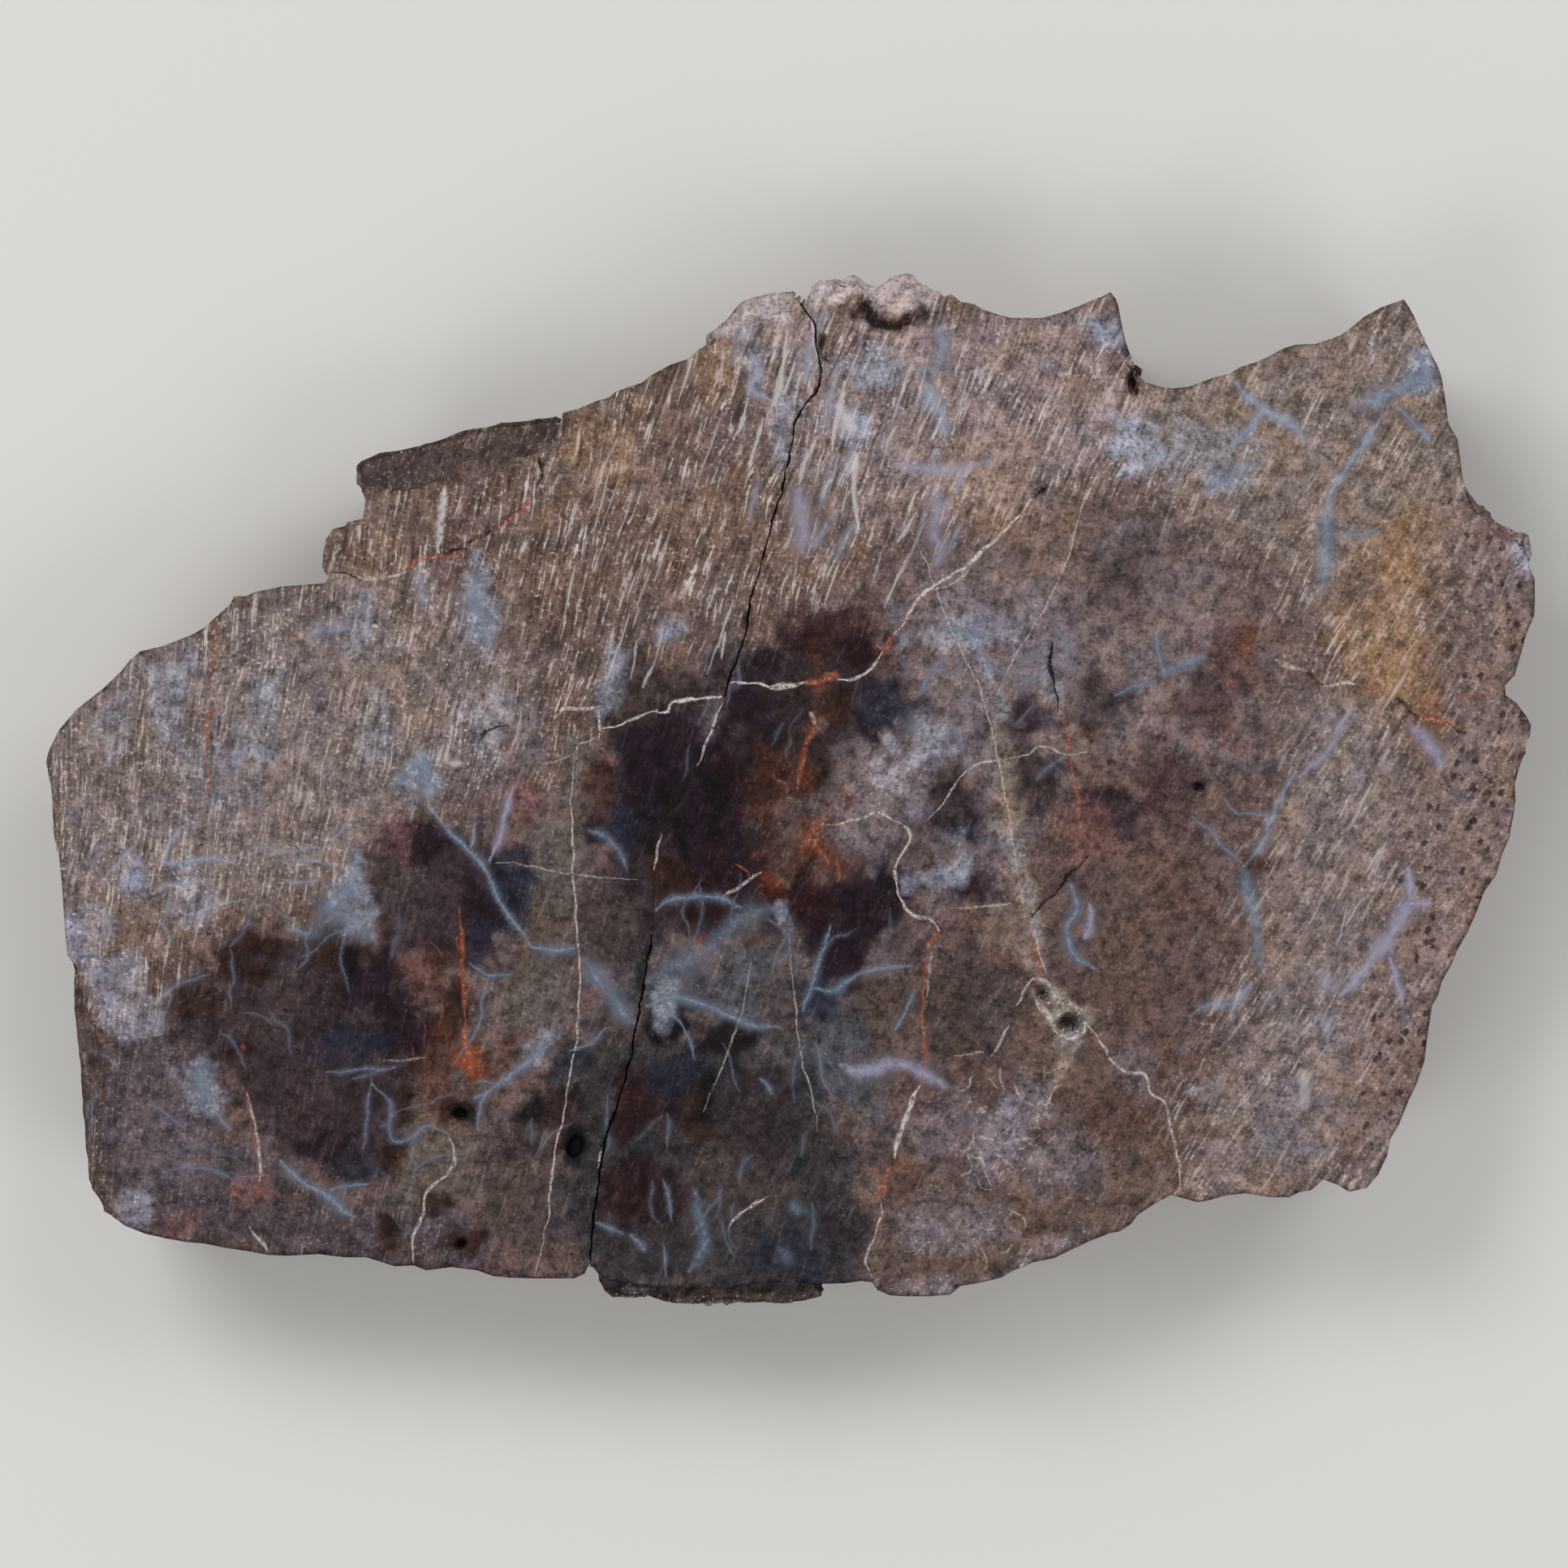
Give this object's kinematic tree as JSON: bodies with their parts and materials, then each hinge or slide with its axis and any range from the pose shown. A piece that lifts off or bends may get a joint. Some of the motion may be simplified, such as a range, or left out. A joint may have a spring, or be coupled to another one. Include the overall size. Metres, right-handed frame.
{
  "type": "fossil metoposaur scute",
  "caption": "Sawn and polished slab of agatised fossil bone with a scalloped sculptured edge, lying flat on its sawn back.",
  "frame": {"origin": "bottom centre of the slab's bounding box, on the sawn back that it lies on", "axes": "+X along the slab's long side, +Y towards the sculptured edge with its pits and crests, +Z out of the polished face"},
  "size_m": [0.065, 0.0454, 0.0082],
  "materials": {
    "agatised_bone": "sawn and lightly polished agatised bone, mottled brown, mauve and blue-grey, with a dark core"
  },
  "bodies": {
    "root": {"scute_slab": "agatised_bone"}
  },
  "joints": []
}
